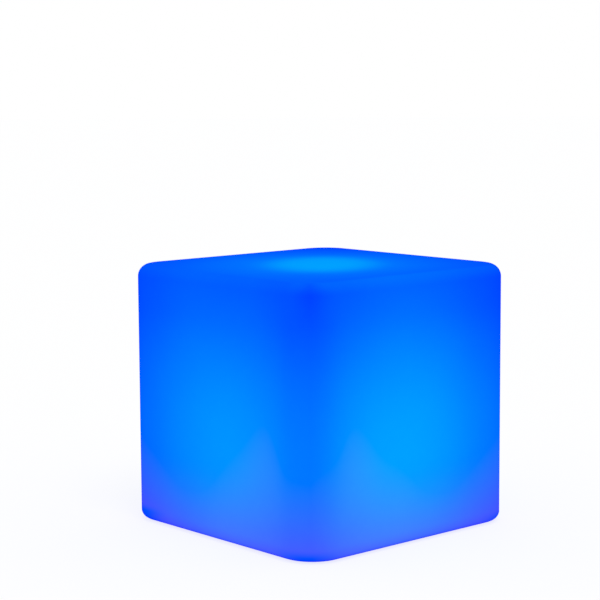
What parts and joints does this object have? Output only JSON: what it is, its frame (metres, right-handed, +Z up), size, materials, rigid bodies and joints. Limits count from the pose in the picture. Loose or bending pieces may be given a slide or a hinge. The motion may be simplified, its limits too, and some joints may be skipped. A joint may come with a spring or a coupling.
{
  "type": "led cube light",
  "caption": "Glowing hollow cube with well rounded corners, a little lower than it is wide, lit by a rechargeable module screwed into its recessed underside, with a push button and a hinged port flap.",
  "frame": {"origin": "middle of the surface that the cube stands on", "axes": "+Z up through the top face, X and Y square to the side faces"},
  "size_m": [0.4, 0.4, 0.374],
  "materials": {
    "shell": "satin",
    "dome": "satin",
    "led": "satin",
    "indicator": "gloss",
    "clear_plastic": "gloss",
    "base_plastic": "satin",
    "trim": "gloss",
    "button": "satin",
    "flap": "satin",
    "black_plastic": "satin",
    "switch_plastic": "satin",
    "socket": "satin",
    "chip": "satin",
    "capacitor": "satin",
    "circuit_board": "satin",
    "led_board": "satin",
    "aluminium": "brushed",
    "cell_wrap": "satin",
    "nickel": "satin",
    "steel": "satin",
    "brass": "satin",
    "rubber": "matte",
    "gasket": "matte",
    "lead": "satin"
  },
  "bodies": {
    "housing": {"cube_shell": "shell", "threaded_inserts": "brass", "foot_pads": "rubber", "base_gasket": "gasket", "module_base": "base_plastic", "flange_screws": "steel", "button_bezel": "trim", "power_switch": "black_plastic", "dc_jack": "black_plastic", "dc_jack_pin": "nickel", "charge_led": "indicator", "light_pipe": "clear_plastic", "hinge_bracket": "base_plastic", "port_hinge_pin": "steel", "control_board": "circuit_board", "control_board_screws": "steel", "control_chips": "chip", "storage_capacitor": "capacitor", "charge_inductor": "chip", "lead_sockets": "socket", "battery_cradle": "black_plastic", "battery_cell_a": "cell_wrap", "battery_cell_b": "cell_wrap", "cell_links": "nickel", "protection_board": "circuit_board", "battery_clamp": "black_plastic", "clamp_screws": "steel", "battery_lead": "lead", "led_carrier": "aluminium", "led_board": "led_board", "led_board_screws": "steel", "led_packages": "led", "ir_receiver": "chip", "led_lead": "lead", "dome_seal": "gasket", "diffuser_dome": "dome", "dome_screws": "steel"},
    "button": {"power_button": "button"},
    "plunger": {"switch_plunger": "switch_plastic"},
    "flap": {"port_flap": "flap", "port_plug": "gasket"}
  },
  "joints": [
    {"name": "button_press", "type": "slide", "parent": "housing", "child": "button", "axis": [0, 0, 1], "range_m": [0, 0.0015], "stiffness_N_per_m": 400, "springref_m": -0.003},
    {"name": "plunger_slide", "type": "slide", "parent": "housing", "child": "plunger", "axis": [0, 0, 1], "range_m": [0, 0.0015]},
    {"name": "flap_hinge", "type": "hinge", "parent": "housing", "child": "flap", "pos_m": [0.014, 0.016, 0.008], "axis": [0, 1, 0], "range_deg": [0, 130]}
  ],
  "couplings": [
    {"joint": "plunger_slide", "follows": "button_press", "ratio": 1}
  ]
}
